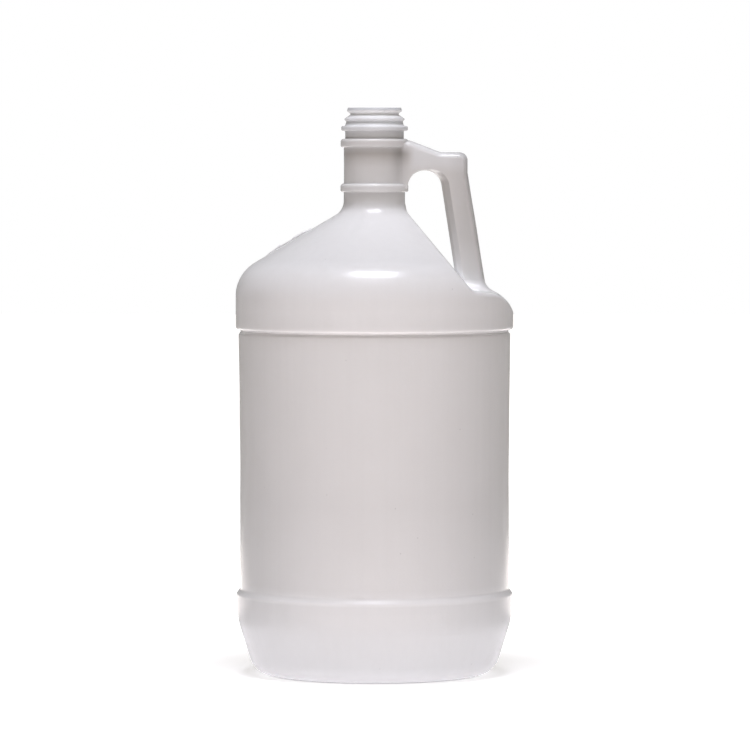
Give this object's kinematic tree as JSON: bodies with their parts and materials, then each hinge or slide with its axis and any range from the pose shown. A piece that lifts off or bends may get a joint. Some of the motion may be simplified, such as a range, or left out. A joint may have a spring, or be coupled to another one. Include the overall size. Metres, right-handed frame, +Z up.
{
  "type": "carboy",
  "caption": "Round blow-moulded jug carboy with a hollow side handle, long ringed neck, push-on bead finish, recessed label panel and open mouth.",
  "frame": {"origin": "on the bottle's axis, in the plane of the standing ring", "axes": "+Z up along the bottle's axis, +X towards the handle, XZ is the parting plane of the mould"},
  "size_m": [0.1666, 0.1666, 0.3397],
  "materials": {
    "natural_hdpe": "natural milky HDPE, satin, slightly translucent"
  },
  "bodies": {
    "root": {"carboy_bottle": "natural_hdpe"}
  },
  "joints": []
}
